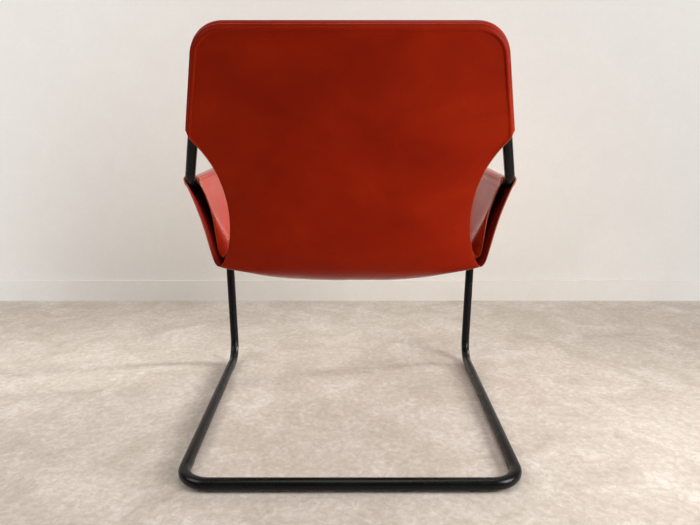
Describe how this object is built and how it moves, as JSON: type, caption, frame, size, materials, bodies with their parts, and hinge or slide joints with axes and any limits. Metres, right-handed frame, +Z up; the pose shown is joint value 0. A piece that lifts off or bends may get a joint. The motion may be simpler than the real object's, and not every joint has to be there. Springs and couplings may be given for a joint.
{
  "type": "cantilever lounge chair",
  "caption": "Cantilever lounge chair with a bent round steel bar frame and a hung leather sling forming seat, back and arm sleeves.",
  "frame": {"origin": "on the floor under the middle of the chair", "axes": "+Z up, -Y the way the sitter faces, +X to the sitter's left"},
  "size_m": [0.7538, 0.6756, 0.8237],
  "materials": {
    "black_steel": "black satin powder coat",
    "weld_steel": "ground weld metal",
    "leather": "smooth saddle leather, oxblood red, semi-gloss",
    "glide_nylon": "black moulded nylon"
  },
  "bodies": {
    "root": {"frame_bar": "black_steel", "butt_weld": "weld_steel", "outer_leather_panel": "leather", "inner_leather_panel": "leather", "front_left_glide": "glide_nylon", "front_right_glide": "glide_nylon", "rear_left_glide": "glide_nylon", "rear_right_glide": "glide_nylon"}
  },
  "joints": []
}
